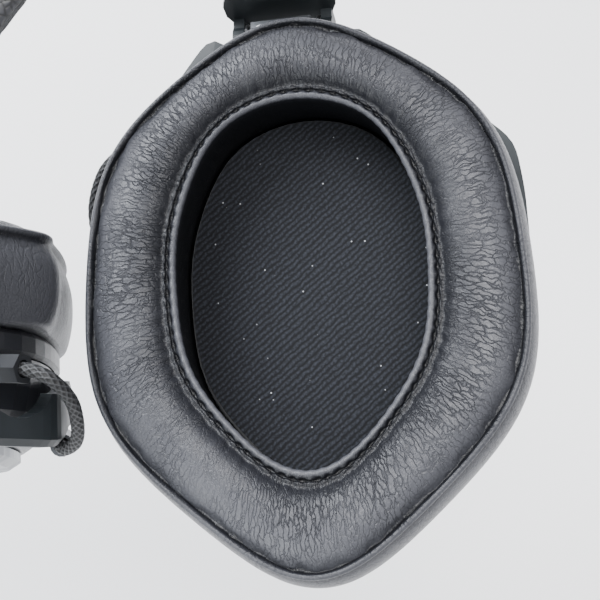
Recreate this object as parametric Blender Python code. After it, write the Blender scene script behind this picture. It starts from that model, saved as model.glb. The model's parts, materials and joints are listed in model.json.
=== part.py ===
"""Folding over-ear headset: two hexagonal padded cups on yokes, fold hinges, sliding band ends.

Lengths below are in millimetres in the frame of the right cup (x across the cup, y up the cup,
z out of the ear cushion, zero on the middle of the cushion face); the whole object is then moved
so that the middle of the head pad is the world origin, and scaled to metres.
"""
import math

import bmesh
import bpy
from mathutils import Matrix, Vector

MM = 0.001

# Ear cup, seen from the ear side.
CUP_RIM = [(0, 55.8), (37.6, 29.5), (40.4, -21.5), (0, -57.0), (-40.4, -21.5), (-37.6, 29.5)]
EAR_OPENING = [(0, 37.5), (15.5, 32.5), (23.9, 12.0), (22.6, -14.0), (9.0, -31.0), (0, -36.5),
               (-9.0, -31.0), (-22.6, -14.0), (-23.9, 12.0), (-15.5, 32.5)]
RIM_POINTS = 54
CUSHION_DEPTH = 19.0
CLOTH_DEPTH = 17.4
RING_TOP, RING_BOTTOM = -19.3, -23.8
SHELL_TOP, SHELL_FLOOR, SHELL_BACK = -24.1, -37.0, -39.0
SHELL_WALL = 2.2
SHIELD_BACK = -42.3
DRIVER_RADIUS = 20.5
GAP = 0.3

# Fold hinge, yoke and tilt pivots in the frame of the cup.
HINGE = Vector((-5.5, 60.4, -32.0))
BARREL_HALF = 7.0
BARREL_RADIUS = 3.6
PIN_RADIUS = 1.2
TILT_Y, TILT_Z = 4.0, -30.5
YOKE_PATH = [(-44.6, -3.0), (-45.3, 8.0), (-45.5, 20.0), (-44.6, 31.5), (-20.6, 61.9), (-18.2, 57.6),
             (-17.6, 54.6), (-5.5, 54.6), (6.6, 54.6), (7.2, 57.6), (8.4, 60.9), (38.8, 32.0), (39.9, 21.0),
             (39.9, 8.0), (39.9, -3.0)]
YOKE_STATIONS = 104
YOKE_THICK = 2.6
JACK_BORE = 1.78
LEAD_RADIUS = 1.25

# Lead from cup to yoke: gland position and direction, top and low end of the ferrule, and the
# free points between. The right cup carries it on its other side, beside the wider arm.
LEADS = {
    "left": (Vector((27.2, 34.6, -26.8)), Vector((0.80, 0.58, -0.10)).normalized(),
             Vector((39.8, 18.5, -39.5)), Vector((39.8, 11.5, -37.8)),
             [(38.6, 41.2, -29.6), (42.0, 37.5, -33.0), (43.0, 31.5, -36.8), (42.6, 26.4, -39.4),
              (40.8, 22.0, -40.4)]),
    "right": (Vector((-27.2, 34.6, -26.8)), Vector((-0.80, 0.58, -0.10)).normalized(),
              Vector((-45.4, 15.0, -38.5)), Vector((-45.4, 8.0, -37.4)),
              [(-36.6, 40.8, -28.4), (-40.8, 39.0, -30.4), (-45.8, 35.6, -32.6), (-49.0, 29.6, -35.6),
               (-49.3, 23.8, -38.4), (-47.6, 19.8, -39.8)]),
}
NOTCH_RADIUS = 8.5

# Slider and band end, measured from the fold axis along the leg of the band.
TRAVEL = 20.0
MOUTH_RETRACTED = 21.0
HOUSING_LENGTH = 34.0
RAIL_WIDTH, RAIL_THICK = 12.0, 1.4
RAIL_START, RAIL_END, RAIL_OFFSET = 5.0, 53.0, 7.0

# Pose: the right cup lies folded in, the left cup hangs almost in line with its leg and the
# spring band is flexed sideways between them.
LEG_ANGLE = math.radians(79.0)
LEFT_ROLL = math.radians(18.0)
LEFT_PITCH = math.radians(-4.0)
LEFT_CUP = Vector((-90.4, 16.0, -13.0))
RIGHT_EXTENDED = TRAVEL

# Headband: pull of the arch along each leg, sideways lean, and half-widths of its three layers.
ARCH_RIGHT, ARCH_LEFT = (22.0, 62.0), (46.0, 16.0)
LEAN_RIGHT, LEAN_LEFT = 16.0, 42.0
BAND_STATIONS = 40
SPRING_HALF, WRAP_HALF, PAD_HALF = 11.0, 20.5, 19.5
WRAP_LOW, WRAP_HIGH = 0.95, 3.6
PAD_THICK = 7.0


# ---------------------------------------------------------------- shapes in millimetres
def smooth_loop(corners, count, passes):
    """Evenly spaced closed loop along a polygon, rounded by repeated averaging."""
    corner = [Vector(c) for c in corners]
    sides = [(corner[(i + 1) % len(corner)] - corner[i]).length for i in range(len(corner))]
    total = sum(sides)
    loop = []
    for k in range(count):
        run, i = total * k / count, 0
        while run > sides[i]:
            run -= sides[i]
            i += 1
        loop.append(corner[i].lerp(corner[(i + 1) % len(corner)], run / sides[i]))
    for _ in range(passes):
        loop = [(loop[i - 1] + loop[i] * 2 + loop[(i + 1) % count]) / 4 for i in range(count)]
    return loop


def smooth_path(corners, count, passes):
    """Evenly spaced open path along a polyline, rounded but with its ends kept."""
    corner = [Vector(c) for c in corners]
    sides = [(b - a).length for a, b in zip(corner, corner[1:])]
    total = sum(sides)
    path = []
    for k in range(count):
        run, i = total * k / (count - 1), 0
        while i < len(sides) - 1 and run > sides[i]:
            run -= sides[i]
            i += 1
        path.append(corner[i].lerp(corner[i + 1], min(run / sides[i], 1.0)))
    for _ in range(passes):
        path = [path[0]] + [(path[i - 1] + path[i] * 2 + path[i + 1]) / 4
                            for i in range(1, count - 1)] + [path[-1]]
    return path


def offset(loop, distance):
    """Closed clockwise loop moved outwards by a distance."""
    moved = []
    for i, point in enumerate(loop):
        along = (loop[(i + 1) % len(loop)] - loop[i - 1]).normalized()
        moved.append(point + Vector((-along.y, along.x)) * distance)
    return moved


def circle_loop(radius, reference):
    """Circle with its points in the directions of a reference loop."""
    return [p.normalized() * radius for p in reference]


def at(loop, z):
    return [Vector((p.x, p.y, z)) for p in loop]


def ramp(value, start, end):
    t = min(max((value - start) / (end - start), 0.0), 1.0)
    return t * t * (3 - 2 * t)


def ring(loops):
    """Closed ring: every loop is joined to the next and the last to the first."""
    count, verts, faces = len(loops[0]), [v for loop in loops for v in loop], []
    for a in range(len(loops)):
        b = (a + 1) % len(loops)
        for i in range(count):
            j = (i + 1) % count
            faces.append((a * count + i, a * count + j, b * count + j, b * count + i))
    return verts, faces


def stack(loops):
    """Solid through a stack of loops, closed by a flat cap at each end."""
    count, verts, faces = len(loops[0]), [v for loop in loops for v in loop], []
    for a in range(len(loops) - 1):
        for i in range(count):
            j = (i + 1) % count
            faces.append((a * count + i, a * count + j, (a + 1) * count + j, (a + 1) * count + i))
    faces.append(tuple(range(count)))
    faces.append(tuple(range((len(loops) - 1) * count, len(loops) * count)))
    return verts, faces


def frame_about(axis):
    axis = axis.normalized()
    side = axis.cross(Vector((0, 0, 1)) if abs(axis.z) < 0.9 else Vector((0, 1, 0))).normalized()
    return side, axis.cross(side)


def rod(start, end, radius, sides=16, bore=0.0, turn=0.0):
    """Round or polygonal bar between two points, with an optional bore."""
    start, end = Vector(start), Vector(end)
    side, other = frame_about(end - start)

    def circle(centre, r):
        return [centre + (side * math.cos(turn + k * math.tau / sides)
                          + other * math.sin(turn + k * math.tau / sides)) * r for k in range(sides)]
    if bore:
        return ring([circle(start, radius), circle(end, radius), circle(end, bore), circle(start, bore)])
    return stack([circle(start, radius), circle(end, radius)])


def turned(centre, axis, profile, sides=40):
    """Solid of revolution: profile of (height, radius) pairs along an axis."""
    axis = Vector(axis).normalized()
    side, other = frame_about(axis)
    loops = [[Vector(centre) + axis * h + (side * math.cos(k * math.tau / sides)
              + other * math.sin(k * math.tau / sides)) * r for k in range(sides)] for h, r in profile]
    return loops


def polygon(centre, axis, height, radius, per_side):
    """18 points round an axis, on a circle or (three to a side) on a hexagon."""
    side, other = frame_about(axis)
    turns = [k * math.tau / 6 for k in range(6)]
    corners = [(side * math.cos(a) + other * math.sin(a)) * radius for a in turns]
    loop = []
    for k in range(18):
        if per_side == 3:
            around = corners[k // 3].lerp(corners[(k // 3 + 1) % 6], (k % 3) / 3)
        else:
            around = (side * math.cos(k * math.tau / 18) + other * math.sin(k * math.tau / 18)) * radius
        loop.append(centre + axis * height + around)
    return loop


def box(low, high):
    (x0, y0, z0), (x1, y1, z1) = low, high
    loop = [(x0, y0), (x1, y0), (x1, y1), (x0, y1)]
    return stack([[Vector((x, y, z)) for x, y in loop] for z in (z0, z1)])


def plate(outline, z0, z1, chamfer=0.0):
    """Flat convex plate on a 2D outline; the far face can be chamfered."""
    centre = sum((Vector(p) for p in outline), Vector((0, 0))) / len(outline)
    low = [Vector((x, y, z0)) for x, y in outline]
    if not chamfer:
        return stack([low, [Vector((x, y, z1)) for x, y in outline]])
    step = math.copysign(chamfer, z1 - z0)
    small = [centre + (Vector(p) - centre) * (1 - chamfer / (Vector(p) - centre).length) for p in outline]
    return stack([low, [Vector((x, y, z1 - step)) for x, y in outline],
                  [Vector((p.x, p.y, z1)) for p in small]])


def tube(path, radius, sides=12):
    """Round cord along a path of points."""
    loops, side = [], None
    for i, point in enumerate(path):
        along = (path[min(i + 1, len(path) - 1)] - path[max(i - 1, 0)]).normalized()
        side = frame_about(along)[0] if side is None else (side - along * side.dot(along)).normalized()
        other = along.cross(side)
        loops.append([point + (side * math.cos(k * math.tau / sides)
                               + other * math.sin(k * math.tau / sides)) * radius for k in range(sides)])
    return stack(loops)


def joined(*pieces):
    verts, faces = [], []
    for piece_verts, piece_faces in pieces:
        base = len(verts)
        verts += piece_verts
        faces += [tuple(base + i for i in face) for face in piece_faces]
    return verts, faces


# ---------------------------------------------------------------- scene objects
def material(name, colour, metallic, roughness):
    mat = bpy.data.materials.new(name)
    mat.use_nodes = True
    shader = mat.node_tree.nodes["Principled BSDF"]
    shader.inputs["Base Color"].default_value = (*colour, 1)
    shader.inputs["Metallic"].default_value = metallic
    shader.inputs["Roughness"].default_value = roughness
    return mat


LOOKS = {
    "leather": ((0.045, 0.047, 0.053), 0, 0.5),
    "cloth": ((0.02, 0.021, 0.024), 0, 0.9),
    "felt": ((0.12, 0.12, 0.12), 0, 0.95),
    "plastic": ((0.03, 0.034, 0.042), 0, 0.45),
    "black_metal": ((0.022, 0.024, 0.028), 0.6, 0.4),
    "grey_metal": ((0.28, 0.29, 0.3), 0.9, 0.35),
    "steel": ((0.55, 0.55, 0.56), 1, 0.3),
    "braid": ((0.16, 0.16, 0.165), 0, 0.7),
    "film": ((0.35, 0.3, 0.2), 0, 0.3),
    "board": ((0.03, 0.11, 0.06), 0, 0.5),
    "brass": ((0.6, 0.45, 0.2), 1, 0.35),
}
ORIGIN = Vector((0, 0, 0))


def add(name, piece, place, look, pivot, steps=(), smooth=True):
    """One named object from local millimetre geometry, with its origin on a pivot point."""
    def mesh_of(mesh_name, verts, faces):
        mesh = bpy.data.meshes.new(mesh_name)
        mesh.from_pydata([((place @ v) - pivot) * MM for v in verts], [], faces)
        work = bmesh.new()
        work.from_mesh(mesh)
        bmesh.ops.recalc_face_normals(work, faces=work.faces)
        work.to_mesh(mesh)
        work.free()
        return mesh
    mesh = mesh_of(name, *piece)
    obj = bpy.data.objects.new(name, mesh)
    bpy.context.collection.objects.link(obj)
    obj.location = (pivot - ORIGIN) * MM
    for operation, tool_piece in steps:
        tool = bpy.data.objects.new(name + "_tool", mesh_of(name + "_tool", *tool_piece))
        bpy.context.collection.objects.link(tool)
        tool.location = obj.location
        bpy.context.view_layer.update()
        cut = obj.modifiers.new("cut", "BOOLEAN")
        cut.operation, cut.solver, cut.object = operation, "EXACT", tool
        cut_mesh = bpy.data.meshes.new_from_object(obj.evaluated_get(bpy.context.evaluated_depsgraph_get()))
        obj.modifiers.clear()
        obj.data = cut_mesh
        bpy.data.objects.remove(tool, do_unlink=True)
    colour, metallic, roughness = LOOKS[look]
    obj.data.materials.clear()
    obj.data.materials.append(material(name + "_" + look, colour, metallic, roughness))
    if smooth:
        for face in obj.data.polygons:
            face.use_smooth = True
        obj.data.set_sharp_from_angle(angle=math.radians(35))
    return obj


# ---------------------------------------------------------------- one cup and its yoke
def build_cup(side, place):
    rim = smooth_loop(CUP_RIM, RIM_POINTS, 9)
    ear = smooth_loop(EAR_OPENING, RIM_POINTS, 7)
    pivot = place @ Vector((0, TILT_Y, TILT_Z))

    def part(name, piece, look, **extra):
        return add(name + "_" + side, piece, place, look, pivot, **extra)

    def between(f, z):
        return [Vector((a.x + (b.x - a.x) * f, a.y + (b.y - a.y) * f, z)) for a, b in zip(rim, ear)]

    part("ear_cushion", ring([
        at(offset(rim, 1.0), -CUSHION_DEPTH), at(offset(rim, 2.1), -15.0), at(offset(rim, 2.2), -9.0),
        at(offset(rim, 1.2), -4.6), at(rim, -3.2), between(0.16, -1.1), between(0.34, -0.1),
        between(0.52, 0.0), between(0.74, -0.8), between(0.91, -2.6), at(ear, -4.6),
        at(offset(ear, 0.5), -8.0), at(offset(ear, 1.2), -13.0), at(offset(ear, 1.2), -CUSHION_DEPTH)]),
        "leather")
    edge = offset(ear, 0.2)
    part("speaker_cloth", stack([at(edge, -CLOTH_DEPTH), at(edge, -CLOTH_DEPTH - 0.5)]), "cloth")
    part("cushion_base_ring", ring([
        at(offset(rim, -0.8), RING_TOP), at(offset(rim, -0.2), RING_TOP - 0.8),
        at(offset(rim, -0.2), RING_BOTTOM + 0.8), at(offset(rim, -0.9), RING_BOTTOM),
        at(offset(ear, 1.6), RING_BOTTOM), at(offset(ear, 1.6), RING_TOP)]),
        "plastic")
    hole = circle_loop(17.6, ear)
    part("baffle", ring([
        at(hole, -18.2), at(offset(ear, 0.6), -18.2), at(offset(ear, 0.6), SHELL_TOP),
        at(offset(rim, -4.0), SHELL_TOP), at(offset(rim, -4.0), -26.0), at(hole, -26.0)]), "plastic")
    part("driver_frame", ring(turned((0, 0, 0), (0, 0, 1), [
        (-26.3, DRIVER_RADIUS), (-28.4, DRIVER_RADIUS), (-30.6, 13.0), (-30.6, 9.0), (-28.6, 12.0),
        (-27.2, 17.0), (-26.3, 17.0)], 32)), "plastic")
    part("driver_diaphragm", ring(turned((0, 0, 0), (0, 0, 1), [
        (-25.5, 16.6), (-24.0, 14.5), (-24.8, 10.5), (-23.8, 5.0), (-23.4, 0.6), (-23.8, 0.6),
        (-24.2, 5.0), (-25.2, 10.5), (-24.4, 14.4), (-25.9, 16.4)], 32)), "film")
    part("driver_magnet", stack(turned((0, 0, 0), (0, 0, 1), [
        (-30.9, 10.5), (-31.3, 11.0), (-34.6, 11.0), (-35.0, 10.5)], 32)), "steel")
    felt = [Vector((x, y)) for x, y in offset(rim, -10.0)]
    part("damping_felt", stack([at(felt, -35.4), at(felt, -36.7)]), "felt")
    part("terminal_board", box((-7, -31, -33.2), (7, -23, -32.2)), "board", smooth=False)

    # Shell with its holes for the gland, the jack, the tilt pins and the microphone port.
    jack_dir = Vector((-0.62, -0.785, 0)).normalized()
    jack_at = Vector((-21.5, -36.4, -30.5))
    gland_at, gland_dir = LEADS[side][:2]
    cuts = [rod(gland_at - gland_dir * 7, gland_at + gland_dir * 7, 2.3, 16),
            rod(jack_at - jack_dir * 6, jack_at + jack_dir * 6, 3.3, 20),
            rod((-50, TILT_Y, TILT_Z), (50, TILT_Y, TILT_Z), 1.9, 16)]
    if side == "left":
        cuts.append(rod((0, -52, -30.5), (0, -40, -30.5), 0.7, 10))
    part("cup_shell", stack([
        at(offset(rim, -1.0 - SHELL_WALL), SHELL_FLOOR), at(offset(rim, -1.0 - SHELL_WALL), SHELL_TOP),
        at(offset(rim, -1.0), SHELL_TOP), at(offset(rim, -1.4), -29.0), at(offset(rim, -2.4), -33.5),
        at(offset(rim, -4.6), -37.0), at(offset(rim, -7.5), SHELL_BACK)]), "plastic",
        steps=[("DIFFERENCE", cut) for cut in cuts])
    part("shield_plate", stack([
        at(offset(rim, -8.2), SHELL_BACK - GAP), at(offset(rim, -8.2), SHIELD_BACK + 1.4),
        at(offset(rim, -10.4), SHIELD_BACK)]), "grey_metal")
    part("lead_gland", ring([
        polygon(gland_at, gland_dir, -1.9, 1.9, 1), polygon(gland_at, gland_dir, 2.2, 1.9, 1),
        polygon(gland_at, gland_dir, 2.2, 2.8, 3), polygon(gland_at, gland_dir, 8.6, 2.8, 3),
        polygon(gland_at, gland_dir, 8.6, 1.6, 1), polygon(gland_at, gland_dir, -1.9, 1.6, 1)]),
        "grey_metal", smooth=False)
    part("jack_socket", ring(turned(jack_at, jack_dir, [
        (-7.0, 2.9), (1.6, 2.9), (1.6, 3.9), (2.8, 3.9), (2.8, JACK_BORE), (-7.0, JACK_BORE)], 20)), "brass")
    part("tilt_pin_front", rod((-45.9, TILT_Y, TILT_Z), (-33.6, TILT_Y, TILT_Z), 1.5, 16), "steel")
    part("tilt_pin_rear", rod((33.6, TILT_Y, TILT_Z), (41.0, TILT_Y, TILT_Z), 1.5, 16), "steel")
    if side == "left":
        capsule = turned((0, -45.4, -30.5), (0, 1, 0), [(0, 2.6), (2.4, 2.6)], 20)
        part("microphone_capsule", stack(capsule), "steel")


def build_yoke(side, place):
    """Fork with the hinge barrel on its bridge and a notch through which the lead leaves the cup."""
    gland_at, gland_dir, ferrule_top, ferrule_low = LEADS[side][:4]
    pivot = place @ HINGE
    path = smooth_path(YOKE_PATH, YOKE_STATIONS, 3)
    loops = []
    for i, p in enumerate(path):
        along = (path[min(i + 1, YOKE_STATIONS - 1)] - path[max(i - 1, 0)]).normalized()
        out = Vector((-along.y, along.x)) * (YOKE_THICK / 2)
        lift = ramp(p.y, 8, 34)
        top, low = -26.2 - 5.0 * lift, -34.8 - 6.0 * lift
        loops.append([Vector((p.x - out.x, p.y - out.y, top)), Vector((p.x + out.x, p.y + out.y, top - 0.3)),
                      Vector((p.x + out.x, p.y + out.y, low + 1.2)),
                      Vector((p.x + out.x * 0.2, p.y + out.y * 0.2, low)),
                      Vector((p.x - out.x, p.y - out.y, low))])
    hx, hy, hz = HINGE
    neck = box((hx - BARREL_HALF, hy - 6.2, hz - 3.4), (hx + BARREL_HALF, hy - 0.6, hz + 3.4))
    barrel = rod((hx - BARREL_HALF, hy, hz), (hx + BARREL_HALF, hy, hz), BARREL_RADIUS, 24)
    add("yoke_" + side, stack(loops), place, "black_metal", pivot, steps=[
        ("UNION", neck), ("UNION", barrel),
        ("DIFFERENCE", rod((hx - 12, hy, hz), (hx + 12, hy, hz), PIN_RADIUS + GAP, 16)),
        ("DIFFERENCE", rod((-50, TILT_Y, TILT_Z), (50, TILT_Y, TILT_Z), 1.85, 16)),
        ("DIFFERENCE", rod(gland_at + gland_dir * 2, gland_at + gland_dir * 16, NOTCH_RADIUS, 24))])
    top = hz + BARREL_RADIUS + GAP
    lid = [(hx - 6.4, hy - 2.6), (hx + 6.4, hy - 2.6), (hx + 6.4, hy + 2.6), (hx - 6.4, hy + 2.6)]
    add("barrel_cover_" + side, plate(lid, top, top + 1.0, 0.3), place, "grey_metal", pivot, smooth=False)
    for label, x in (("front", -4.2), ("rear", 4.2)):
        head = rod((hx + x, hy, top + 1.3), (hx + x, hy, top + 2.0), 1.2, 12)
        add("barrel_screw_" + label + "_" + side, head, place, "steel", pivot)
    ferrule = rod(ferrule_top, ferrule_low, 2.2, 14, LEAD_RADIUS + GAP)
    add("lead_ferrule_" + side, ferrule, place, "grey_metal", pivot)


def build_lead(side, place):
    """Short braided lead from the gland on the cup to the ferrule under the yoke arm."""
    gland_at, gland_dir, ferrule_top, ferrule_low, middle = LEADS[side]
    path = smooth_path([gland_at + gland_dir * 1.0, gland_at + gland_dir * 8.6, *middle,
                        ferrule_top.lerp(ferrule_low, -0.2), ferrule_top.lerp(ferrule_low, 0.86)], 34, 1)
    add("link_lead_" + side, tube(path, LEAD_RADIUS, 12), place, "braid", place @ HINGE)


# ---------------------------------------------------------------- slider and band end
def leg_place(axis_point, across, leg):
    """Frame with x across the band, y along the leg and z towards the outside of the arch."""
    out = across.cross(leg)
    return Matrix((
        (across.x, leg.x, out.x, axis_point.x), (across.y, leg.y, out.y, axis_point.y),
        (across.z, leg.z, out.z, axis_point.z), (0, 0, 0, 1)))


def build_slider(side, place, outer):
    """Bracket, rail, pin and washers on one leg; outer is +1 or -1, the outside in the leg frame."""
    pivot = place @ Vector((0, 0, 0))
    z = lambda value: value * outer
    shape = [(-8.4, -3.2), (-11.6, 4.2), (-11.6, 7.6), (-8.0, 17.0),
             (8.0, 17.0), (11.6, 7.6), (11.6, 4.2), (8.4, -3.2)]
    ears = []
    for s in (-1, 1):
        x0, x1 = sorted((s * (BARREL_HALF + 1.1), s * (BARREL_HALF + 3.5)))
        low, high = sorted((0, z(5.0)))
        ears.append(("UNION", rod((x0, 0, 0), (x1, 0, 0), BARREL_RADIUS, 20)))
        ears.append(("UNION", box((x0 + 0.05, -2.9, low), (x1 - 0.05, 2.9, high))))
    ears.append(("DIFFERENCE", rod((-14, 0, 0), (14, 0, 0), PIN_RADIUS + GAP, 16)))
    back = plate(shape, z(4.4), z(6.6), 0.9)
    add("fold_bracket_" + side, back, place, "black_metal", pivot, steps=ears, smooth=False)
    add("fold_pin_" + side, rod((-11.2, 0, 0), (11.2, 0, 0), PIN_RADIUS, 16), place, "steel", pivot)
    for label, s in (("front", -1), ("rear", 1)):
        add("fold_washer_" + label + "_" + side,
            rod((s * (BARREL_HALF + 0.3), 0, 0), (s * (BARREL_HALF + 0.8), 0, 0), 3.9, 20, PIN_RADIUS + GAP),
            place, "steel", pivot)
    low, high = sorted((z(RAIL_OFFSET), z(RAIL_OFFSET + RAIL_THICK)))
    add("slider_rail_" + side, box((-RAIL_WIDTH / 2, RAIL_START, low), (RAIL_WIDTH / 2, RAIL_END, high)),
        place, "steel", pivot, smooth=False)


def build_housing(side, place, mouth, outer):
    """Sleeve on the end of the band in which the rail slides."""
    pivot = place @ Vector((0, mouth, 0))
    centre = outer * (RAIL_OFFSET + RAIL_THICK / 2)
    half_w, half_t = 13.0, 4.2
    body = []
    for y, w, t in ((mouth, half_w - 1.5, half_t - 0.8), (mouth + 2.0, half_w, half_t),
                    (mouth + HOUSING_LENGTH, half_w, half_t)):
        body.append([Vector((x * w, y, centre + k * t)) for x, k in (
            (-1, -0.55), (-0.88, -1), (0.88, -1), (1, -0.55), (1, 0.55), (0.88, 1), (-0.88, 1), (-1, 0.55))])
    slot = box((-RAIL_WIDTH / 2 - 0.5, mouth - 2, centre - 1.15),
               (RAIL_WIDTH / 2 + 0.5, mouth + HOUSING_LENGTH - 1.6, centre + 1.15))
    add("end_housing_" + side, stack(body), place, "black_metal", pivot,
        steps=[("DIFFERENCE", slot)], smooth=False)


# ---------------------------------------------------------------- headband
def build_band(start, start_dir, start_across, end, end_dir, end_across):
    """Sweep along the arch between the two housings, and the station at its middle."""
    lean = Vector((1, 0, 0))
    points = [start, start + start_dir * ARCH_RIGHT[0], start + start_dir * ARCH_RIGHT[1] + lean * LEAN_RIGHT,
              end + end_dir * ARCH_LEFT[0] + lean * LEAN_LEFT, end + end_dir * ARCH_LEFT[1], end]

    def station(t):
        row = points
        while len(row) > 2:
            row = [a.lerp(b, t) for a, b in zip(row, row[1:])]
        place, along = row[0].lerp(row[1], t), (row[1] - row[0]).normalized()
        across = start_across.lerp(end_across, ramp(t, 0, 1)).normalized()
        across = (across - along * across.dot(along)).normalized()
        return place, across, across.cross(along)

    def strap(first, last, half_width, layers, taper):
        """Swept strip; layers are (width factor, height) pairs round its section."""
        loops = []
        for k in range(BAND_STATIONS):
            f = k / (BAND_STATIONS - 1)
            place, across, up = station(first + (last - first) * f)
            grow = 1 - taper * (1 - ramp(min(f, 1 - f), 0, 0.22))
            loops.append([place + across * (x * half_width * grow) + up * h for x, h in layers])
        return stack(loops)

    return strap, station(0.5)


def main():
    global ORIGIN
    for obj in list(bpy.data.objects):
        bpy.data.objects.remove(obj, do_unlink=True)

    right = Matrix.Identity(4)
    across_r = Vector((1, 0, 0))
    across_l = Vector((math.cos(LEFT_ROLL), 0, -math.sin(LEFT_ROLL)))
    up_l = Vector((math.sin(LEFT_ROLL), 0, math.cos(LEFT_ROLL)))
    face_l = Vector((0, 1, 0))
    up_l, face_l = (up_l * math.cos(LEFT_PITCH) + face_l * math.sin(LEFT_PITCH),
                    face_l * math.cos(LEFT_PITCH) - up_l * math.sin(LEFT_PITCH))
    left = Matrix((
        (across_l.x, up_l.x, face_l.x, LEFT_CUP.x), (across_l.y, up_l.y, face_l.y, LEFT_CUP.y),
        (across_l.z, up_l.z, face_l.z, LEFT_CUP.z), (0, 0, 0, 1)))

    leg_r = Vector((0, math.cos(LEG_ANGLE), math.sin(LEG_ANGLE)))
    leg_l = (leg_r - across_l * leg_r.dot(across_l)).normalized()
    hinge_r, hinge_l = right @ HINGE, left @ HINGE
    leg_frame_r = leg_place(hinge_r, across_r, leg_r)
    leg_frame_l = leg_place(hinge_l, across_l, leg_l)
    # Outside of the arch: away from the other leg.
    outer_r = 1 if (leg_frame_r.to_3x3() @ Vector((0, 0, 1))).dot(hinge_r - hinge_l) > 0 else -1
    outer_l = 1 if (leg_frame_l.to_3x3() @ Vector((0, 0, 1))).dot(hinge_l - hinge_r) > 0 else -1

    mouth_r, mouth_l = MOUTH_RETRACTED + RIGHT_EXTENDED, MOUTH_RETRACTED
    rail = 7.0 + RAIL_THICK / 2
    top_r = leg_frame_r @ Vector((0, mouth_r + HOUSING_LENGTH + GAP, outer_r * rail))
    top_l = leg_frame_l @ Vector((0, mouth_l + HOUSING_LENGTH + GAP, outer_l * rail))
    strap, (mid, mid_across, mid_up) = build_band(top_r, leg_r, across_r, top_l, leg_l, across_l)
    # The normal of the strap at its middle points out of the arch or into it.
    out = 1 if mid_up.dot(leg_r) > 0 else -1
    ORIGIN = mid - mid_up * (out * (WRAP_LOW + PAD_THICK))

    def section(low, high, edge):
        low, high = low * out, high * out
        m = (low + high) / 2
        flat = [(x * edge, low) for x in (-1, -0.55, 0, 0.55, 1)]
        return [(-1, m)] + flat + [(1, m), (edge, high), (-edge, high)]

    root = ORIGIN.copy()
    world = Matrix.Identity(4)
    flat = (-1, -0.5, 0, 0.5, 1)
    leaf = [(x, -0.4 * out) for x in flat] + [(-x, 0.4 * out) for x in flat]
    add("band_spring", strap(0, 1, SPRING_HALF, leaf, 0.0), world, "steel", root)
    wrap = section(WRAP_LOW, WRAP_HIGH, 0.93)
    add("band_wrap", strap(0.0, 1.0, WRAP_HALF, wrap, 0.12), world, "leather", root)
    add("head_pad", strap(0.05, 0.95, PAD_HALF, section(-WRAP_LOW, -WRAP_LOW - PAD_THICK, 0.8), 0.12), world,
        "leather", root)

    for side, place, leg_frame, mouth, outer in (("right", right, leg_frame_r, mouth_r, outer_r),
                                                 ("left", left, leg_frame_l, mouth_l, outer_l)):
        build_cup(side, place)
        build_yoke(side, place)
        build_lead(side, place)
        build_slider(side, leg_frame, outer)
        build_housing(side, leg_frame, mouth, outer)


main()
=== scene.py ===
import json
import math

import bmesh
import bpy
import numpy as np
from mathutils import Matrix, Vector, noise


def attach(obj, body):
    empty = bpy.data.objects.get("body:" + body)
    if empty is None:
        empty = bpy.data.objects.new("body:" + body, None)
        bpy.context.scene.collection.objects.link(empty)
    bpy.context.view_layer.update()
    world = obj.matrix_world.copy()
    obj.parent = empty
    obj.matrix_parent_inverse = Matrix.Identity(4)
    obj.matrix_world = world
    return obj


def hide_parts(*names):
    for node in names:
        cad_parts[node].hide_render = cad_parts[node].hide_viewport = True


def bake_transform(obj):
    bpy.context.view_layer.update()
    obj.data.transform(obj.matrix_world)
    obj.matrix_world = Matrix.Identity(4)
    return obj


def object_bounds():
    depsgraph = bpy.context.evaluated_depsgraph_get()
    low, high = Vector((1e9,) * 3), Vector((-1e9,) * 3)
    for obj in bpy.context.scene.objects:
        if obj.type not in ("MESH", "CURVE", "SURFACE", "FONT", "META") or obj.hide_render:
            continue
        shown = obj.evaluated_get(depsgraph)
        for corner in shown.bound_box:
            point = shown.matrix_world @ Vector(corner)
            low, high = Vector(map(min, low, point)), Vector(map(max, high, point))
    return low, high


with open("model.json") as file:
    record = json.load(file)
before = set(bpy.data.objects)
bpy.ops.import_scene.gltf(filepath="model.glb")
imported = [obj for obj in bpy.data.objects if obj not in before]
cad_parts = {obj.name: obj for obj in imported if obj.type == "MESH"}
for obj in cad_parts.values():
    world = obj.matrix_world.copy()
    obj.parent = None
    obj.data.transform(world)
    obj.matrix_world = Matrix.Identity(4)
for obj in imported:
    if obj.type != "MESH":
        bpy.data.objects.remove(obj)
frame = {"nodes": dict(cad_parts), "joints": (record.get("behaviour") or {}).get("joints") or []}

CAD_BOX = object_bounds()
MM = 0.001
SIDES = ("right", "left")

# Cup outlines in the cup's own millimetres: x across, y up to the hinge, z out of the cushion.
CUP_RIM = [(0, 55.8), (37.6, 29.5), (40.4, -21.5), (0, -57.0), (-40.4, -21.5), (-37.6, 29.5)]
EAR_OPENING = [(0, 37.5), (15.5, 32.5), (23.9, 12.0), (22.6, -14.0), (9.0, -31.0), (0, -36.5),
               (-9.0, -31.0), (-22.6, -14.0), (-23.9, 12.0), (-15.5, 32.5)]
RIM_POINTS = 54
HINGE = (-5.5, 60.4, -32.0)
TILT_Y, TILT_Z = 4.0, -30.5
LEAD_RADIUS = 1.25
BRAID_STATIONS, BRAID_AROUND, BRAID_STRANDS, BRAID_LAY, BRAID_DEPTH = 260, 48, 7, 12.0, 0.22

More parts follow.
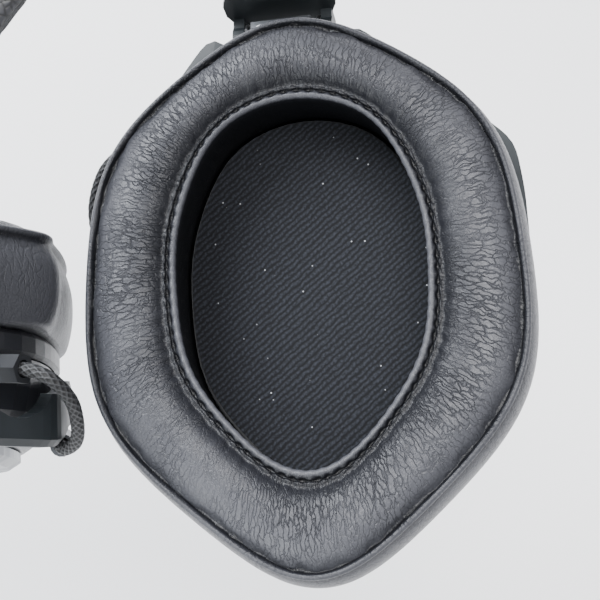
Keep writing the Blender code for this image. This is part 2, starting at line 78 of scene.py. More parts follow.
# Leads: gland position and direction, ferrule top and low end, and the points between.
LEADS = {
    "left": (Vector((27.2, 34.6, -26.8)), Vector((0.80, 0.58, -0.10)).normalized(),
             Vector((39.8, 18.5, -39.5)), Vector((39.8, 11.5, -37.8)),
             [(38.6, 41.2, -29.6), (42.0, 37.5, -33.0), (43.0, 31.5, -36.8), (42.6, 26.4, -39.4),
              (40.8, 22.0, -40.4)]),
    "right": (Vector((-27.2, 34.6, -26.8)), Vector((-0.80, 0.58, -0.10)).normalized(),
              Vector((-45.4, 15.0, -38.5)), Vector((-45.4, 8.0, -37.4)),
              [(-36.6, 40.8, -28.4), (-40.8, 39.0, -30.4), (-45.8, 35.6, -32.6), (-49.0, 29.6, -35.6),
               (-49.3, 23.8, -38.4), (-47.6, 19.8, -39.8)]),
}

# Camera, in the millimetres of the right cup: seen from slightly right of and below its face.
AIM = Vector((0, 0, -8))
VIEW_DIRECTION = Vector((0.17, -0.25, 1)).normalized()
VIEW_DISTANCE = 260.0
VIEW_ROLL = math.radians(3)
# Room under the headset for the right cup to unfold, in metres.
FLOOR_DROP = 0.13
VIEW_WIDTH = 109.69
VIEW_SHIFT = (-0.0083, -0.0167)
SENSOR_WIDTH = 36.0

# Ear cushion section: (where, offset or share of the way from rim to opening, height).
CUSHION_SECTION = [
    ("rim", 0.4, -19.0), ("rim", 1.3, -18.0), ("rim", 2.1, -15.0), ("rim", 2.5, -12.0), ("rim", 2.5, -9.0),
    ("rim", 2.0, -6.8), ("rim", 1.2, -5.3), ("rim", 0.9, -4.7), ("rim", 1.35, -4.3), ("rim", 1.45, -3.8),
    ("rim", 1.0, -3.35), ("rim", 0.5, -3.5), ("rim", 0.1, -4.1), ("cross", 0.02, -3.2), ("cross", 0.07, -2.0),
    ("cross", 0.14, -1.1), ("cross", 0.23, -0.35), ("cross", 0.34, 0.1), ("cross", 0.46, 0.3),
    ("cross", 0.58, 0.15), ("cross", 0.69, -0.4), ("cross", 0.78, -1.3), ("cross", 0.84, -2.3),
    ("cross", 0.88, -3.2), ("cross", 0.905, -3.8), ("cross", 0.925, -3.3), ("cross", 0.96, -2.95),
    ("ear", 0.15, -3.0), ("ear", -0.25, -3.5), ("ear", -0.2, -4.4), ("ear", 0.2, -7.0), ("ear", 0.7, -11.0),
    ("ear", 1.0, -15.0), ("ear", 1.1, -19.0)]
CROWN_FIRST, CROWN_LAST, SEAM_ROW = 12, 24, 26
# Painted shade and painted highlight in the leather's lightness along the section: dark under the piping, in
# the groove inside it, in the seam groove, on the inner slope and the inner wall, and lighter on the rolled
# ridge: (row, share).
PAINTED_LIGHT_ROWS = ((0, 0.8), (5, 1.0), (7, 0.4), (9, 1.0), (10.4, 0.8), (12, 0.05), (13.2, 0.75), (15, 1.0),
          (17, 1.0), (19, 0.78), (21, 0.5), (23, 0.34), (24.5, 0.05), (25.6, 0.6), (27.0, 1.25),
          (28.4, 0.7), (30, 0.08), (34, 0.03))
AROUND, AROUND_SIM, PER_ROW = 640, 160, 3
STITCH_PITCH, THREAD_RADIUS = 2.3, 0.10
# The crown is simulated ten times life size, because the solver is coarse at this scale.
SIM_SCALE, SWELL_LIMIT, CUSHION_STEPS, PAD_STEPS = 0.01, 1.1, 20, 12
CREASE_SEEDS = {"right": 3.0, "left": 11.0}


# ---------------------------------------------------------------- frames of the parts
def joint(name):
    return next(j for j in frame["joints"] if j["name"] == name)


def axes_matrix(x, y, z, spot, scale=1.0):
    """Matrix whose columns are three axes, scaled, and a place."""
    return Matrix([(x[i] * scale, y[i] * scale, z[i] * scale, spot[i]) for i in range(3)] + [(0, 0, 0, 1)])


def cup_place(side):
    """Matrix from a cup's own millimetres to the frame, from its tilt and fold joints."""
    across = Vector(joint("tilt_" + side)["axis"]).normalized()
    tilt, hinge = Vector(joint("tilt_" + side)["pos_m"]), Vector(joint("fold_" + side)["pos_m"])
    rise, depth = HINGE[1] - TILT_Y, HINGE[2] - TILT_Z
    ahead = (hinge - tilt) / MM - across * HINGE[0]
    beside = across.cross(ahead) * (1 if side == "right" else -1)
    square = rise * rise + depth * depth
    up, face = (ahead * rise - beside * depth) / square, (beside * rise + ahead * depth) / square
    centre = tilt - (up * TILT_Y + face * TILT_Z) * MM
    return axes_matrix(across, up, face, centre, MM)


PLACES = {side: cup_place(side) for side in SIDES}


# ---------------------------------------------------------------- camera, light and floor
def set_camera():
    place = PLACES["right"]
    side = Vector((0, 1, 0)).cross(VIEW_DIRECTION).normalized()
    up = VIEW_DIRECTION.cross(side)
    right = side * math.cos(VIEW_ROLL) - up * math.sin(VIEW_ROLL)
    up = side * math.sin(VIEW_ROLL) + up * math.cos(VIEW_ROLL)
    spot = place @ (AIM + VIEW_DIRECTION * VIEW_DISTANCE)
    data = bpy.data.cameras.new("camera")
    camera = bpy.data.objects.new("camera", data)
    bpy.context.scene.collection.objects.link(camera)
    camera.matrix_world = axes_matrix(right, up, VIEW_DIRECTION, spot)
    data.sensor_width = SENSOR_WIDTH
    data.lens = SENSOR_WIDTH * VIEW_DISTANCE / VIEW_WIDTH
    data.shift_x, data.shift_y = VIEW_SHIFT
    data.clip_start = 0.01
    bpy.context.scene.camera = camera


def area_light(name, spot, power, size, colour):
    data = bpy.data.lights.new(name, "AREA")
    data.energy, data.size, data.color = power, size, colour
    lamp = bpy.data.objects.new(name, data)
    bpy.context.scene.collection.objects.link(lamp)
    lamp.location = spot
    lamp.rotation_mode = "QUATERNION"
    lamp.rotation_quaternion = (Vector(PLACES["right"].translation) - Vector(spot)).to_track_quat("-Z", "Y")


def set_lights():
    area_light("window", (-0.35, 0.45, 0.45), 15.0, 0.5, (0.93, 0.96, 1.0))
    area_light("ceiling", (0.25, 0.10, 0.75), 14.5, 0.6, (1.0, 0.99, 0.98))
    area_light("fill", (-0.35, -0.50, 0.35), 5.0, 0.5, (0.96, 1.0, 0.99))
    world = bpy.data.worlds.new("room")
    bpy.context.scene.world = world
    world.use_nodes = True
    world.node_tree.nodes["Background"].inputs["Color"].default_value = (0.9, 0.9, 0.93, 1)
    world.node_tree.nodes["Background"].inputs["Strength"].default_value = 0.82


def make_floor():
    low = CAD_BOX[0].z - FLOOR_DROP
    bpy.ops.mesh.primitive_plane_add(size=4, location=(0, 0, low))
    floor = bpy.context.object
    floor.name = "floor"
    floor.data.materials.append(plain_material("floor_white", (0.94, 0.94, 0.955), 0.6))


# ---------------------------------------------------------------- materials
def plain_material(name, colour, roughness, metallic=0.0):
    mat = bpy.data.materials.new(name)
    mat.use_nodes = True
    shader = mat.node_tree.nodes["Principled BSDF"]
    shader.inputs["Base Color"].default_value = (*colour, 1)
    shader.inputs["Roughness"].default_value = roughness
    shader.inputs["Metallic"].default_value = metallic
    return mat


class Nodes:
    """Short calls for building a material's node tree."""

    def __init__(self, mat):
        self.tree = mat.node_tree
        self.shader = self.tree.nodes["Principled BSDF"]

    def add(self, kind, **inputs):
        node = self.tree.nodes.new("ShaderNode" + kind)
        for name, value in inputs.items():
            socket = node.inputs[name.replace("_", " ")]
            if isinstance(value, bpy.types.NodeSocket):
                self.tree.links.new(value, socket)
            else:
                socket.default_value = value
        return node

    def link(self, output, name):
        self.tree.links.new(output, self.shader.inputs[name])

    def place(self, scale=(1, 1, 1), turn=0.0):
        """Coordinates on the object, scaled and turned about Z."""
        return self.mapped(self.add("TexCoord").outputs["Object"], scale, turn)

    def mapped(self, vector, scale, turn=0.0):
        return self.add("Mapping", Vector=vector, Scale=scale, Rotation=(0, 0, turn)).outputs["Vector"]

    def stored(self, name, output):
        """Value or vector stored on the points of the mesh."""
        source = self.add("Attribute")
        source.attribute_name = name
        return source.outputs[output]

    def noise(self, vector, scale, detail=2.0, roughness=0.5):
        node = self.add("TexNoise", Vector=vector, Scale=scale, Detail=detail, Roughness=roughness)
        return node.outputs["Fac"]

    def cracks(self, vector, scale):
        node = self.add("TexVoronoi", Vector=vector, Scale=scale)
        node.feature = "DISTANCE_TO_EDGE"
        return node.outputs["Distance"]

    def math(self, operation, first, second=0.0):
        node = self.tree.nodes.new("ShaderNodeMath")
        node.operation = operation
        for socket, value in zip(node.inputs, (first, second)):
            if isinstance(value, bpy.types.NodeSocket):
                self.tree.links.new(value, socket)
            else:
                socket.default_value = value
        return node.outputs[0]

    def ramp(self, factor, stops):
        """Colour ramp from (position, colour) stops."""
        node = self.add("ValToRGB", Fac=factor)
        elements = node.color_ramp.elements
        for element, (position, colour) in zip((elements[0], elements[-1]), (stops[0], stops[-1])):
            element.position, element.color = position, (*colour, 1)
        for position, colour in stops[1:-1]:
            elements.new(position).color = (*colour, 1)
        return node.outputs["Color"]

    def span(self, value, low, high, new_low, new_high):
        node = self.add("MapRange", Value=value)
        names = ("From Min", "From Max", "To Min", "To Max")
        for name, number in zip(names, (low, high, new_low, new_high)):
            node.inputs[name].default_value = number
        return node.outputs["Result"]

    def bump(self, height, strength, distance, normal=None):
        node = self.add("Bump", Height=height, Strength=strength, Distance=distance)
        if normal is not None:
            self.tree.links.new(normal, node.inputs["Normal"])
        return node.outputs["Normal"]


def cushion_leather(name):
    """Soft grained leather: fine cells, and creases that run from the seam over the crown, painted darker as
    shade; the stored tone adds painted shade and painted highlight along the section.
    """
    mat = plain_material(name, (0.02, 0.021, 0.025), 0.5)
    n = Nodes(mat)
    over = n.stored("grain", "Vector")
    wobble = n.add("TexNoise", Vector=over, Scale=620.0, Detail=3.0)
    bent = n.add("VectorMath")
    bent.operation = "MULTIPLY_ADD"
    n.tree.links.new(wobble.outputs["Color"], bent.inputs[0])
    bent.inputs[1].default_value = (0.0013, 0.0013, 0.0013)
    n.tree.links.new(over, bent.inputs[2])
    cells, long = n.mapped(bent.outputs[0], (1, 1, 0.7)), n.mapped(bent.outputs[0], (1, 1, 0.25))
    grain = n.span(n.cracks(cells, 2100.0), 0.0, 0.2, 0.0, 1.0)
    crease = n.span(n.cracks(long, 1250.0), 0.0, 0.12, 0.0, 1.0)
    patches = n.span(n.noise(over, 90.0, 3.0), 0.34, 0.62, 0.22, 0.95)
    strength = n.math("MULTIPLY", n.stored("crease", "Fac"), patches)
    deep = n.math("SUBTRACT", 1.0, n.math("MULTIPLY", n.math("SUBTRACT", 1.0, crease), strength))
    # Painted shade: the colour darkens along the creases; the grain darkens its cell edges a little.
    lines = n.math("ADD", n.math("MULTIPLY", deep, 0.32), 0.68)
    lines = n.math("MULTIPLY", lines, n.math("ADD", n.math("MULTIPLY", grain, 0.12), 0.88))
    wide = n.span(n.noise(n.place(), 45.0, 2.0), 0.3, 0.7, 0.88, 1.08)
    # Tone brings in the painted shade and painted highlight along the section.
    shade = n.math("MULTIPLY", n.math("MULTIPLY", lines, wide), n.stored("tone", "Fac"))
    n.link(n.ramp(shade, [(0.0, (0.001, 0.0013, 0.0022)), (0.5, (0.012, 0.0128, 0.0168)),
                          (1.0, (0.070, 0.0722, 0.083))]), "Base Color")
    n.link(n.span(deep, 0.0, 1.0, 0.6, 0.38), "Roughness")
    first = n.bump(deep, 0.9, 0.00026)
    n.link(n.bump(grain, 0.32, 0.00007, first), "Normal")
    n.shader.inputs["Specular IOR Level"].default_value = 0.36
    return mat


def band_leather(name):
    mat = plain_material(name, (0.02, 0.021, 0.025), 0.48)
    n = Nodes(mat)
    where = n.place()
    grain = n.span(n.cracks(where, 1100.0), 0.0, 0.2, 0.0, 1.0)
    wide = n.noise(where, 60.0, 3.0)
    n.link(n.ramp(n.math("MULTIPLY", grain, n.span(wide, 0.3, 0.7, 0.8, 1.0)),
                  [(0.0, (0.006, 0.0062, 0.007)), (1.0, (0.026, 0.027, 0.032))]), "Base Color")
    n.link(n.span(wide, 0.3, 0.7, 0.42, 0.56), "Roughness")
    n.link(n.bump(grain, 0.4, 0.0001, n.bump(wide, 0.3, 0.0004)), "Normal")
    return mat


def twill_cloth(name):
    """Fine black twill with pale lint caught on it."""
    mat = plain_material(name, (0.01, 0.01, 0.011), 0.9)
    n = Nodes(mat)
    yarns = []
    for turn, pitch in ((math.radians(52), 0.00052), (math.radians(-20), 0.00047)):
        wave = n.add("TexWave", Vector=n.place(turn=turn), Scale=1 / (pitch * math.tau), Distortion=2.6,
                     Detail=1.0, Detail_Scale=2.0)
        yarns.append(wave.outputs["Fac"])
    weave = n.math("MULTIPLY", yarns[0], n.math("ADD", n.math("MULTIPLY", yarns[1], 0.35), 0.65))
    fuzz = n.noise(n.place(), 2600.0, 2.0)
    tone = n.math("MULTIPLY", weave, n.span(fuzz, 0.3, 0.7, 0.2, 1.5))
    cloth = n.ramp(tone, [(0.0, (0.0018, 0.0022, 0.0034)), (1.0, (0.019, 0.0215, 0.0285))])
    dots = n.add("TexVoronoi", Vector=n.place(), Scale=420.0)
    speck = n.span(dots.outputs["Distance"], 0.05, 0.075, 1.0, 0.0)
    lucky = n.math("GREATER_THAN", n.add("SeparateColor", Color=dots.outputs["Color"]).outputs[0], 0.5)
    lint = n.math("MULTIPLY", speck, lucky)
    mix = n.add("Mix")
    mix.data_type = "RGBA"
    for socket, value in ((mix.inputs["Factor"], lint), (mix.inputs[6], cloth)):
        n.tree.links.new(value, socket)
    mix.inputs[7].default_value = (0.33, 0.34, 0.36, 1)
    n.link(mix.outputs[2], "Base Color")
    n.link(n.bump(weave, 0.6, 0.00012), "Normal")
    n.shader.inputs["Specular IOR Level"].default_value = 0.25
    n.shader.inputs["Sheen Weight"].default_value = 0.12
    n.shader.inputs["Sheen Roughness"].default_value = 0.5
    return mat


def tints(colour, dark, light):
    """Ramp stops from a darker to a lighter tint of one colour."""
    return [(0.3, tuple(c * dark for c in colour)), (0.7, tuple(min(1, c * light) for c in colour))]


def metal(name, colour, roughness, metallic, brushed=0.0):
    """Metal with faint handling marks, and brush lines where it has them."""
    mat = plain_material(name, colour, roughness, metallic)
    n = Nodes(mat)
    where = n.place()
    cloud = n.noise(where, 130.0, 4.0)
    n.link(n.ramp(cloud, tints(colour, 0.8, 1.25)), "Base Color")
    n.link(n.span(cloud, 0.3, 0.7, roughness - 0.06, roughness + 0.1), "Roughness")
    fine = n.noise(n.place(scale=(1, 0.04, 1)) if brushed else where, 6000.0 if brushed else 2400.0, 1.0)
    n.link(n.bump(fine, brushed or 0.12, 0.00003), "Normal")
    return mat


def moulded(name, colour, roughness):
    """Satin moulded plastic with a fine spark-eroded texture."""
    mat = plain_material(name, colour, roughness)
    n = Nodes(mat)
    fine = n.noise(n.place(), 3800.0, 2.0)
    cloud = n.noise(n.place(), 90.0, 3.0)
    n.link(n.ramp(cloud, tints(colour, 0.85, 1.15)), "Base Color")
    n.link(n.span(fine, 0.3, 0.7, roughness - 0.05, roughness + 0.08), "Roughness")
    n.link(n.bump(fine, 0.25, 0.00004), "Normal")
    return mat


def felt(name, colour):
    mat = plain_material(name, colour, 0.95)
    n = Nodes(mat)
    fibres = n.noise(n.place(), 1800.0, 6.0, 0.7)
    n.link(n.ramp(fibres, tints(colour, 0.5, 1.4)), "Base Color")
    n.link(n.bump(fibres, 0.9, 0.0002), "Normal")
    return mat


def braided(name):
    mat = plain_material(name, (0.03, 0.031, 0.034), 0.55)
    n = Nodes(mat)
    fuzz = n.noise(n.place(), 4200.0, 2.0)
    tone = n.math("MULTIPLY", n.stored("strand", "Fac"), n.span(fuzz, 0.3, 0.7, 0.7, 1.1))
    n.link(n.ramp(tone, [(0.0, (0.006, 0.006, 0.007)), (0.6, (0.02, 0.021, 0.023)),
                         (1.0, (0.07, 0.072, 0.078))]), "Base Color")
    n.link(n.bump(fuzz, 0.3, 0.00005), "Normal")
    return mat


def looks():
    """Material of each carried-over CAD node, by the start of its name."""
    black = metal("black_anodised", (0.012, 0.016, 0.019), 0.5, 0.15)
    grey = metal("satin_grey", (0.085, 0.09, 0.098), 0.34, 0.85)
    steel = metal("brushed_steel", (0.52, 0.53, 0.55), 0.3, 1.0, 0.25)
    plastic = moulded("satin_black_plastic", (0.017, 0.018, 0.022), 0.42)
    shell = moulded("shell_black_plastic", (0.014, 0.015, 0.019), 0.36)
    return {
        "speaker_cloth": twill_cloth("twill"), "damping_felt": felt("grey_felt", (0.11, 0.11, 0.11)),
        "cushion_base_ring": plastic, "baffle": plastic, "driver_frame": plastic, "cup_shell": shell,
        "driver_diaphragm": moulded("amber_film", (0.3, 0.24, 0.13), 0.25),
        "driver_magnet": metal("nickel_magnet", (0.5, 0.5, 0.5), 0.25, 1.0),
        "terminal_board": moulded("green_board", (0.02, 0.09, 0.045), 0.35),
        "shield_plate": metal("shield_grey", (0.10, 0.105, 0.115), 0.33, 0.9, 0.18), "barrel_cover": grey,
        "lead_gland": metal("gland_grey", (0.028, 0.030, 0.034), 0.4, 0.4), "lead_ferrule": grey,
        "jack_socket": metal("turned_brass", (0.6, 0.44, 0.18), 0.28, 1.0), "microphone_capsule": steel,
        "yoke": black, "fold_bracket": black, "end_housing": black, "band_spring": steel,
        "slider_rail": steel, "fold_pin": steel, "fold_washer": steel, "barrel_screw": steel,
        "tilt_pin": steel,
    }


def paint_nodes():
    found = looks()
    for name, node in frame["nodes"].items():
        look = next((mat for start, mat in found.items() if name.startswith(start)), None)
        if look:
            node.data.materials.clear()
            node.data.materials.append(look)


# ---------------------------------------------------------------- mesh helpers
def smooth_loop(corners, count, passes):
    """Evenly spaced closed loop along a polygon, rounded by repeated averaging."""
    corner = np.array(corners, float)
    nxt = np.roll(corner, -1, 0)
    ends = np.concatenate([[0], np.cumsum(np.linalg.norm(nxt - corner, axis=1))])
    run = np.arange(count) * ends[-1] / count
    side = np.minimum(np.searchsorted(ends, run, side="left") - 1, len(corner) - 1).clip(0)
    share = (run - ends[side]) / (ends[side + 1] - ends[side])
    loop = corner[side] + (nxt[side] - corner[side]) * share[:, None]
    for _ in range(passes):
        loop = (np.roll(loop, 1, 0) + loop * 2 + np.roll(loop, -1, 0)) / 4
    return loop


def spline(points, times, closed):
    """Points of a Catmull-Rom curve through rows of points, at fractional row numbers."""
    count = len(points)
    i = np.floor(times).astype(int)
    t = (times - i).reshape((-1,) + (1,) * (points.ndim - 1))
    pick = (lambda k: points[(i + k) % count]) if closed else (lambda k: points[np.clip(i + k, 0, count - 1)])
    a, b, c, d = pick(-1), pick(0), pick(1), pick(2)
    square, cube = 2 * a - 5 * b + 4 * c - d, 3 * b - a - 3 * c + d
    return 0.5 * (2 * b + (c - a) * t + square * t ** 2 + cube * t ** 3)


def outward(loop):
    along = np.roll(loop, -1, 0) - np.roll(loop, 1, 0)
    along /= np.linalg.norm(along, axis=1)[:, None]
    return np.stack([-along[:, 1], along[:, 0]], 1)


def grid_mesh(name, grid, close_rows, close_columns):
    """Mesh from rows x columns of points, joined to itself both ways where asked."""
    rows, columns = grid.shape[:2]
    r, c = np.meshgrid(np.arange(rows if close_rows else rows - 1),
                       np.arange(columns if close_columns else columns - 1), indexing="ij")
    r2, c2 = (r + 1) % rows, (c + 1) % columns
    corners = [r * columns + c, r * columns + c2, r2 * columns + c2, r2 * columns + c]
    quads = np.stack(corners, -1).reshape(-1, 4)
    mesh = bpy.data.meshes.new(name)
    mesh.from_pydata(grid.reshape(-1, 3).tolist(), [], quads.tolist())
    return mesh


def new_piece(name, mesh, mat, body=None):
    work = bmesh.new()
    work.from_mesh(mesh)
    bmesh.ops.recalc_face_normals(work, faces=work.faces)
    work.to_mesh(mesh)
    work.free()
    for face in mesh.polygons:
        face.use_smooth = True
    mesh.materials.append(mat)
    piece = bpy.data.objects.new(name, mesh)
    bpy.context.scene.collection.objects.link(piece)
    if body:
        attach(piece, body)
    return piece


def to_frame(grid, place):
    matrix = np.array(place)
    return grid @ matrix[:3, :3].T + matrix[:3, 3]


# ---------------------------------------------------------------- ear cushions
def section_points(rim, ear, rim_out, ear_out):
    """Rows of the cushion's surface, one for each point of its section."""
    rows = []
    for where, amount, z in CUSHION_SECTION:
        if where == "rim":
            flat = rim + rim_out * amount
        elif where == "ear":
            flat = ear + ear_out * amount
        else:
            flat = rim + (ear - rim) * amount
        rows.append(np.column_stack([flat, np.full(len(flat), z)]))
    return np.array(rows)


def swollen(crown):
    """How far each point of the crown moves when its leather is blown up by the foam, in millimetres."""
    rows, columns = crown.shape[:2]
    mesh = grid_mesh("crown_sim", crown * SIM_SCALE, False, True)
    sim = bpy.data.objects.new("crown_sim", mesh)
    bpy.context.scene.collection.objects.link(sim)
    held = sim.vertex_groups.new(name="held")
    held.add([*range(columns), *range((rows - 1) * columns, rows * columns)], 1.0, "REPLACE")
    cloth = sim.modifiers.new("cloth", "CLOTH")
    settings = cloth.settings
    settings.quality, settings.mass = 6, 0.3
    settings.tension_stiffness = settings.compression_stiffness = 12
    settings.bending_stiffness = 0.3
    settings.vertex_group_mass = "held"
    settings.use_pressure = True
    settings.uniform_pressure_force = 4
    settings.shrink_min = -0.05
    settings.effector_weights.gravity = 0
    cloth.point_cache.frame_end = CUSHION_STEPS + 2
    for number in range(1, CUSHION_STEPS + 1):
        bpy.context.scene.frame_set(number)
    shaped = sim.evaluated_get(bpy.context.evaluated_depsgraph_get()).to_mesh()
    after = np.array([v.co for v in shaped.vertices]).reshape(crown.shape) / SIM_SCALE
    bpy.context.scene.frame_set(1)
    bpy.data.objects.remove(sim, do_unlink=True)
    move = after - crown
    size = np.linalg.norm(move, axis=2, keepdims=True)
    return move * np.minimum(1.0, SWELL_LIMIT / np.maximum(size, 1e-6))


def cushion_surface():
    """Rows of points over the whole cushion, its opening and the length of the opening."""
    rim54, ear54 = smooth_loop(CUP_RIM, RIM_POINTS, 9), smooth_loop(EAR_OPENING, RIM_POINTS, 7)
    fine = np.arange(AROUND) * RIM_POINTS / AROUND
    rim, ear = spline(rim54, fine, True), spline(ear54, fine, True)
    rows = section_points(rim, ear, outward(rim), outward(ear))
    coarse = np.arange(AROUND_SIM) * RIM_POINTS / AROUND_SIM
    rim_c, ear_c = spline(rim54, coarse, True), spline(ear54, coarse, True)
    rough = section_points(rim_c, ear_c, outward(rim_c), outward(ear_c))[CROWN_FIRST:CROWN_LAST]
    steps = np.linspace(0, len(rough) - 1, 3 * len(rough))
    move = swollen(spline(rough, steps, False))
    picked = move[np.round(np.linspace(0, len(steps) - 1, len(rough))).astype(int)]
    around = np.arange(AROUND) * AROUND_SIM / AROUND
    rows[CROWN_FIRST:CROWN_LAST] += spline(picked.transpose(1, 0, 2), around, True).transpose(1, 0, 2)
    grid = spline(rows, np.linspace(0, len(rows) - 1, (len(rows) - 1) * PER_ROW + 1), False)
    return grid, np.linalg.norm(np.roll(ear, -1, 0) - ear, axis=1).sum()


def surface_normals(grid):
    normal = np.cross(np.gradient(grid, axis=1), np.gradient(grid, axis=0))
    normal /= np.maximum(np.linalg.norm(normal, axis=2, keepdims=True), 1e-9)
    top = (CROWN_FIRST + 5) * PER_ROW
    return normal * np.sign(normal[top, :, 2].mean())


def leather_relief(from_seam, stitches, seed):
    """Height of the gathers, creases and hollows over the crown, and of the rolled edge's pleats."""
    lift = np.zeros(from_seam.shape)
    angle = np.arange(AROUND) / AROUND * math.tau
    seam, last = CROWN_LAST * PER_ROW, (SEAM_ROW + 2) * PER_ROW
    for i, turn in enumerate(angle):
        where = Vector((math.cos(turn), math.sin(turn), 0))
        for k in range(CROWN_FIRST * PER_ROW - 2, last):
            d = from_seam[k, i]
            wander = noise.noise(where * 9 + Vector((seed, 0, d * 0.12)))
            pull = math.cos(stitches * turn + wander * 2.2)
            tuck = math.exp(-max(d, 0) / 2.6) * (0.17 * pull - 0.05) if d > -0.8 else 0.0
            crease = noise.noise(where * 26 + Vector((seed, 4, d * 0.09)))
            sharp = -abs(crease) ** 0.7 * math.exp(-((d - 5.0) / 7.5) ** 2) if d > 0 else 0.0
            broad = noise.noise(where * 4.5 + Vector((seed, 9, d * 0.07)))
            lift[k, i] = tuck + 0.16 * sharp + 0.26 * broad * min(max(d, 0) / 6, 1.0)
    ridge = range(seam + 1, last + PER_ROW)
    for k in ridge:
        share = math.sin(math.pi * (k - seam) / (len(ridge) + 1))
        lift[k] += share * 0.10 * np.cos(stitches * angle + 0.6)
    return lift


def store_leather(mesh, across, from_seam, perimeter):
    """Store what the leather material reads: place on the hide, depth of creases, and tone, which paints
    shade and highlight along the section.
    """
    angle = np.arange(AROUND) / AROUND * math.tau
    radius = perimeter * 1.25 / math.tau * MM
    round_x, round_y = (radius * turned + 0 * across for turned in (np.cos(angle), np.sin(angle)))
    hide = np.stack([round_x, round_y, across * MM], -1)
    crossed = np.clip(from_seam / 17.0, 0, 1)
    creased = 0.12 + 0.88 * np.exp(-((crossed - 0.56) / 0.38) ** 2) * (from_seam > 0)
    # Tone is painted shade in the grooves and on the inner wall, and a painted highlight on the rolled ridge.
    tone = np.interp(np.arange(len(across)) / PER_ROW, *zip(*PAINTED_LIGHT_ROWS))[:, None] + 0 * across
    for name, kind, field, values in (("grain", "FLOAT_VECTOR", "vector", hide),
                                      ("crease", "FLOAT", "value", creased),
                                      ("tone", "FLOAT", "value", tone)):
        store = mesh.attributes.new(name, kind, "POINT")
        store.data.foreach_set(field, values.astype(np.float32).ravel())


def make_cushion(side):
    """Leather cushion with its piping, crown, gathered inner seam, rolled edge and side wall."""
    grid, perimeter = cushion_surface()
    across = np.concatenate([np.zeros((1, AROUND)), np.linalg.norm(np.diff(grid, axis=0), axis=2).cumsum(0)])
    seam = CROWN_LAST * PER_ROW
    from_seam = across[seam] - across
    normal = surface_normals(grid)
    stitches = round(perimeter / STITCH_PITCH)
    grid = grid + normal * leather_relief(from_seam, stitches, CREASE_SEEDS[side])[..., None]
    if side == "left":
        grid = pressed(grid)
    mesh = grid_mesh("ear_cushion_cover_" + side, to_frame(grid, PLACES[side]), True, True)
    store_leather(mesh, across, from_seam, perimeter)
    leather = cushion_leather("cushion_leather_" + side)
    cover = new_piece("ear_cushion_cover_" + side, mesh, leather, side + "_cup")
    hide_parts("ear_cushion_" + side)
    make_stitches(side, grid, normal, seam, stitches)


def pressed(grid):
    """The left cushion stands a little prouder and bulges towards the cushion it leans on."""
    grid = grid.copy()
    raised = np.clip((grid[..., 2] + 14.0) / 10.0, 0, 1)
    lumps = np.cos(grid[..., 0] / 6.1 + 0.8) * np.cos(grid[..., 1] / 8.3 - 0.4)
    grid[..., 2] += raised ** 2 * (2.2 + 0.35 * lumps)
    share = np.clip((grid[..., 0] - 14.0) / 27.0, 0, 1)
    above = grid[..., 1] - 31.0
    reach = np.exp(-(above / np.where(above < 0, 7.5, 13.0)) ** 2)
    grid[..., 0] += 4.2 * share ** 2 * (3 - 2 * share) * reach
    return grid


def make_stitches(side, grid, normal, seam, stitches):
    """Short thread stitches that cross the inner seam of a cushion."""
    work = bmesh.new()
    for k in range(stitches):
        i = int(round((k + 0.5) * AROUND / stitches)) % AROUND
        start = Vector(grid[seam - 2, i] + normal[seam - 2, i] * 0.04)
        capsule(work, start, Vector(grid[seam, i] + normal[seam, i] * 0.06), THREAD_RADIUS)
    mesh = bpy.data.meshes.new("cushion_stitches_" + side)
    work.to_mesh(mesh)
    work.free()
    mesh.transform(PLACES[side])
    thread = felt("thread_" + side, (0.012, 0.012, 0.014))
    piece = new_piece("cushion_stitches_" + side, mesh, thread, side + "_cup")


def capsule(work, start, end, radius, sides=6):
    """Thread or pin with rounded ends, added to a bmesh."""
    axis = (end - start).normalized()
    side = axis.cross(Vector((0, 0, 1)) if abs(axis.z) < 0.9 else Vector((1, 0, 0))).normalized()
    other = axis.cross(side)
    length = (end - start).length
    rings = []
    for run, share in ((-0.7, 0.45), (0.0, 0.9), (0.5, 1.0), (1.0, 0.9), (1.7, 0.45)):
        t = min(max(run, 0), 1) * length + (run * radius if run < 0 else (run - 1) * radius if run > 1 else 0)
        centre = start + axis * t
        rings.append([work.verts.new(centre + (side * math.cos(k * math.tau / sides)
                                               + other * math.sin(k * math.tau / sides)) * radius * share)
                      for k in range(sides)])
    for a, b in zip(rings, rings[1:]):
        for k in range(sides):
            work.faces.new((a[k], a[(k + 1) % sides], b[(k + 1) % sides], b[k]))
    work.faces.new(rings[0])
    work.faces.new(rings[-1])


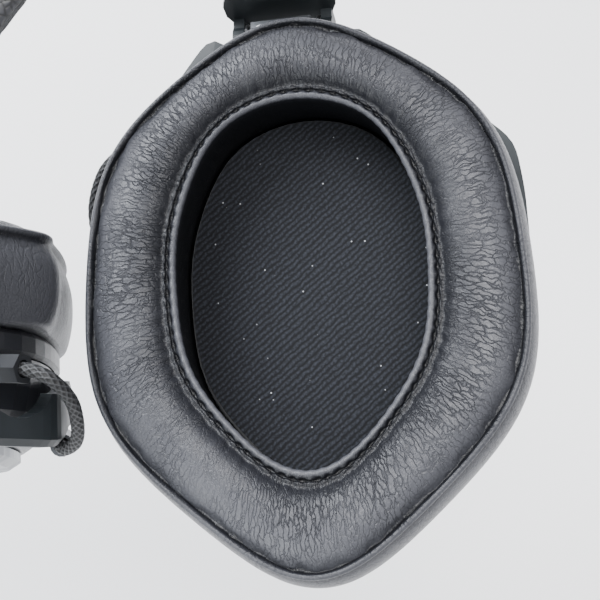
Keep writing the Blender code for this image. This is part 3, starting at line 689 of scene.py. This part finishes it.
# ---------------------------------------------------------------- braided leads
def make_lead(side):
    """Lead with its braid modelled as two crossing sets of strands, bending between cup and yoke."""
    gland_at, gland_dir, top, low, middle = LEADS[side]
    corners = np.array([gland_at + gland_dir * 1.0, gland_at + gland_dir * 8.6, *map(Vector, middle),
                        top.lerp(low, -0.2), top.lerp(low, 0.86)])
    path = spline(corners, np.linspace(0, len(corners) - 1.001, BRAID_STATIONS), False)
    length = np.concatenate([[0], np.linalg.norm(np.diff(path, axis=0), axis=1).cumsum()])
    side_dir = Vector((0, 0, 1))
    rows, strand = [], []
    for k, point in enumerate(path):
        along = Vector(path[min(k + 1, len(path) - 1)] - path[max(k - 1, 0)]).normalized()
        side_dir = (side_dir - along * side_dir.dot(along)).normalized()
        other = along.cross(side_dir)
        turn = length[k] * math.tau / BRAID_LAY
        row = []
        for j in range(BRAID_AROUND):
            a = j * math.tau / BRAID_AROUND
            weave = max(math.cos(BRAID_STRANDS * (a + turn)), math.cos(BRAID_STRANDS * (a - turn)), 0)
            radius = LEAD_RADIUS - BRAID_DEPTH * (1 - weave ** 0.6)
            row.append(Vector(point) + (side_dir * math.cos(a) + other * math.sin(a)) * radius)
            strand.append(weave ** 1.5)
        rows.append(row)
    grid = np.array([[tuple(p) for p in row] for row in rows])
    mesh = grid_mesh("braided_lead_" + side, to_frame(grid, PLACES[side]), False, True)
    tones = mesh.attributes.new("strand", "FLOAT", "POINT")
    tones.data.foreach_set("value", np.array(strand, np.float32))
    piece = new_piece("braided_lead_" + side, mesh, braided("braid_" + side))
    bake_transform(piece)
    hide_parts("link_lead_" + side)


# ---------------------------------------------------------------- headband padding
def padded_from_node(node, name, mat, voxel, swell, cap):
    """A CAD pad remeshed, swollen as cloth and smoothed, in the place of its node."""
    mesh = frame["nodes"][node].data.copy()
    piece = bpy.data.objects.new(name, mesh)
    bpy.context.scene.collection.objects.link(piece)
    remesh = piece.modifiers.new("remesh", "REMESH")
    remesh.mode, remesh.voxel_size = "VOXEL", voxel
    apply_modifiers(piece)
    before = np.array([v.co for v in piece.data.vertices])
    cloth = piece.modifiers.new("cloth", "CLOTH")
    cloth.settings.quality = 5
    cloth.settings.use_pressure = True
    cloth.settings.uniform_pressure_force = swell
    cloth.settings.tension_stiffness = 20
    cloth.settings.effector_weights.gravity = 0
    for number in range(1, PAD_STEPS + 1):
        bpy.context.scene.frame_set(number)
    apply_modifiers(piece)
    bpy.context.scene.frame_set(1)
    after = np.array([v.co for v in piece.data.vertices])
    move = after - before
    size = np.linalg.norm(move, axis=1, keepdims=True)
    after = before + move * np.minimum(1.0, cap / np.maximum(size, 1e-9))
    piece.data.vertices.foreach_set("co", after.ravel())
    smooth = piece.modifiers.new("smooth", "CORRECTIVE_SMOOTH")
    smooth.iterations, smooth.use_only_smooth = 6, True
    divide = piece.modifiers.new("divide", "SUBSURF")
    divide.levels = divide.render_levels = 1
    apply_modifiers(piece)
    for face in piece.data.polygons:
        face.use_smooth = True
    piece.data.materials.clear()
    piece.data.materials.append(mat)
    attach(piece, "headband")
    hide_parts(node)
    return piece


def apply_modifiers(piece):
    """Bake a piece's modifiers into its mesh."""
    made = bpy.data.meshes.new_from_object(piece.evaluated_get(bpy.context.evaluated_depsgraph_get()))
    piece.modifiers.clear()
    piece.data = made


set_camera()
set_lights()
make_floor()
paint_nodes()
for each in SIDES:
    make_cushion(each)
    make_lead(each)
padded_from_node("head_pad", "head_pad_cover", band_leather("pad_leather"), 0.0025, 3.0, 0.0008)
padded_from_node("band_wrap", "band_wrap_cover", band_leather("wrap_leather"), 0.0012, 0.6, 0.0002)
